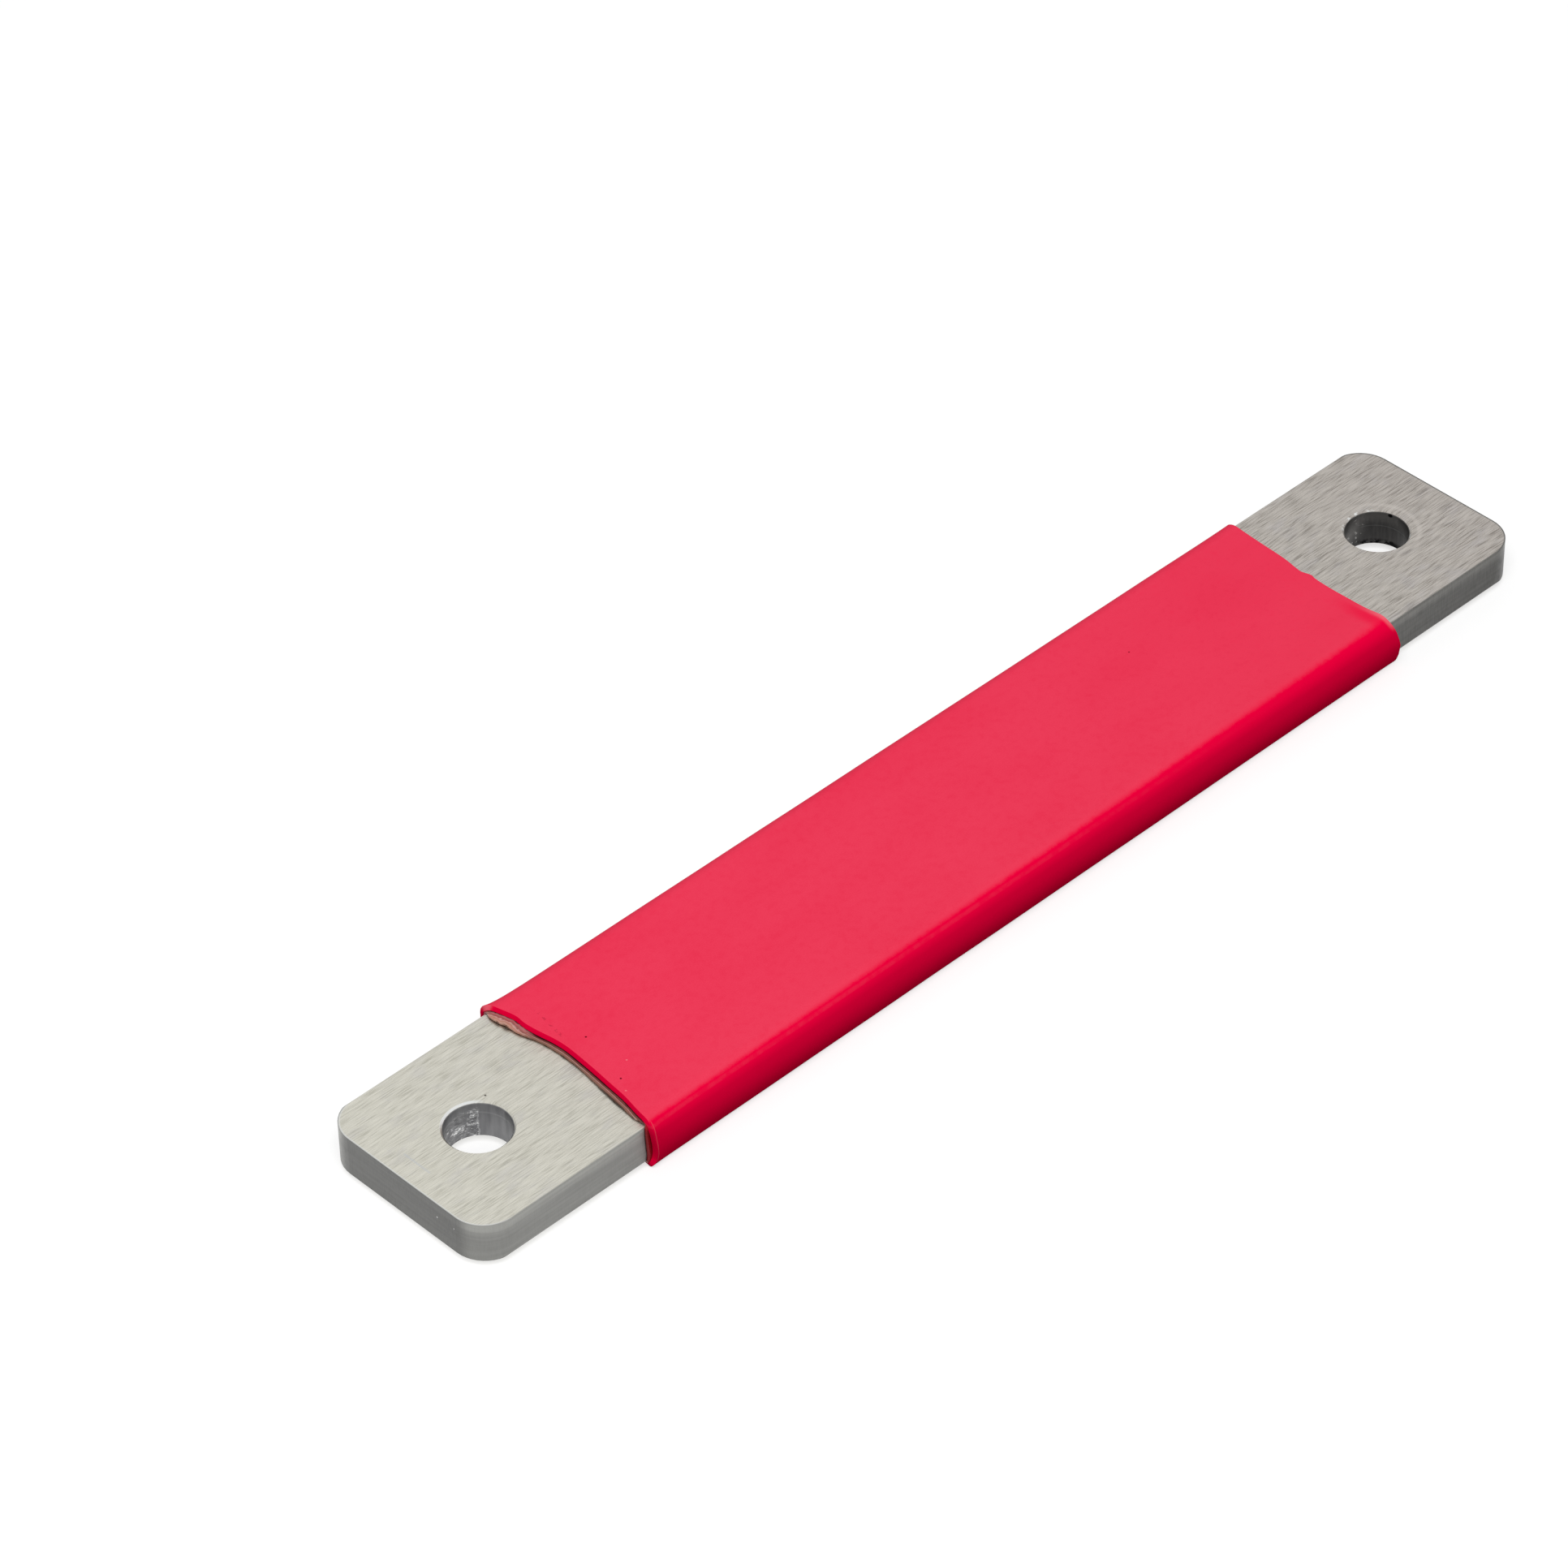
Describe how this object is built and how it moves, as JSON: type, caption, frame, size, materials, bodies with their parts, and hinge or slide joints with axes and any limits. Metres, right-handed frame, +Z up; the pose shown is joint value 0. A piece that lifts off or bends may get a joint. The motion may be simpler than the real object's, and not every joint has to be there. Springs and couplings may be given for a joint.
{
  "type": "insulated bus bar",
  "caption": "Flat aluminium bar with a bolt hole near each end, in a red heat-shrunk insulating sleeve, for linking two terminals.",
  "frame": {"origin": "on the ground, under the middle of the bar's length and width; the sleeve's flat underside lies in the plane z = 0", "axes": "+X along the bar, away from the end with the curved sleeve cut; +Y across the bar; +Z up, along the bolt holes"},
  "size_m": [0.195, 0.0328, 0.0084],
  "materials": {
    "bar": "mill finish, fine lengthwise rolling lines",
    "sleeve": "semi-matte shrunk polyolefin",
    "adhesive_lining": "translucent hot-melt adhesive"
  },
  "bodies": {
    "root": {"bar": "bar", "sleeve": "sleeve", "adhesive_lining": "adhesive_lining"}
  },
  "joints": []
}
